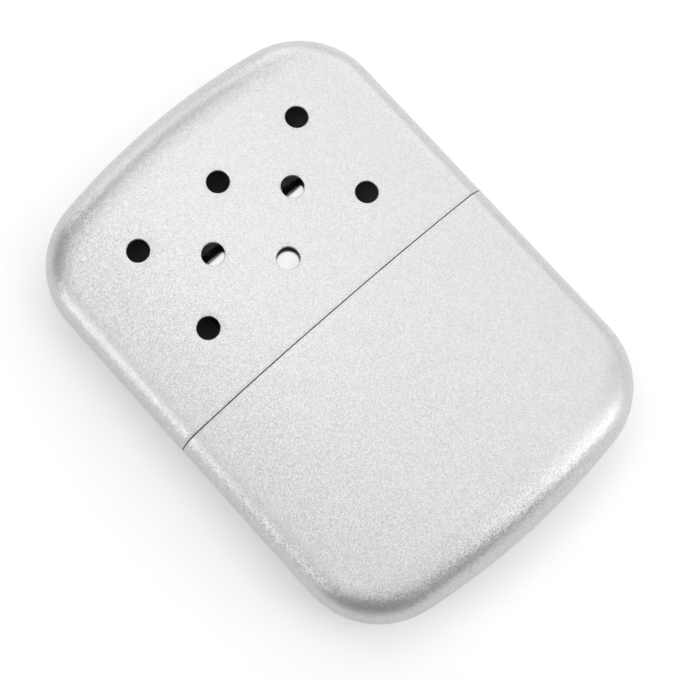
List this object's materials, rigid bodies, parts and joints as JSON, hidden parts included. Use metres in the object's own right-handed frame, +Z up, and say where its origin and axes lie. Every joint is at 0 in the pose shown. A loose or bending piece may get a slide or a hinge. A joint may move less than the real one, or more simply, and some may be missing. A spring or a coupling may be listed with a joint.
{
  "type": "catalytic hand warmer",
  "caption": "Pocket catalytic hand warmer: a vented metal cap slides off a drawn fuel tank, with a lift-off catalyst burner on the oblong filler neck.",
  "frame": {"origin": "middle of the back face, under the centre of the whole closed warmer, on the surface it rests on", "axes": "+Z up out of the vented front face, +Y along the warmer towards the cap end, +X across"},
  "size_m": [0.068, 0.0948, 0.015],
  "materials": {
    "silver_coat": "fine-textured matt silver powder coat",
    "bright_plate": "bright plated sheet",
    "brass": "plain spun brass",
    "stainless": "rolled stainless sheet",
    "wool_felt": "pressed felt",
    "cotton": "loose cotton wadding",
    "glass_fibre": "matted glass fibre with a grey catalyst"
  },
  "bodies": {
    "tank": {"tank_shell": "silver_coat", "shoulder_collar": "bright_plate", "filler_neck": "brass", "neck_grille": "stainless", "wick_felt": "wool_felt", "wadding_front": "cotton", "wadding_middle": "cotton", "wadding_back": "cotton"},
    "cap": {"cap_shell": "silver_coat"},
    "burner": {"burner_cover": "bright_plate", "burner_frame": "stainless", "support_gauze": "stainless", "catalyst_mat": "glass_fibre", "catalyst_guard": "stainless", "grip_spring_front": "stainless", "grip_spring_back": "stainless"}
  },
  "joints": [
    {"name": "cap_slide", "type": "slide", "parent": "tank", "child": "cap", "axis": [0, 1, 0], "range_m": [0, 0.036]},
    {"name": "burner_lift", "type": "slide", "parent": "tank", "child": "burner", "axis": [0, 1, 0], "range_m": [0, 0.012]}
  ]
}
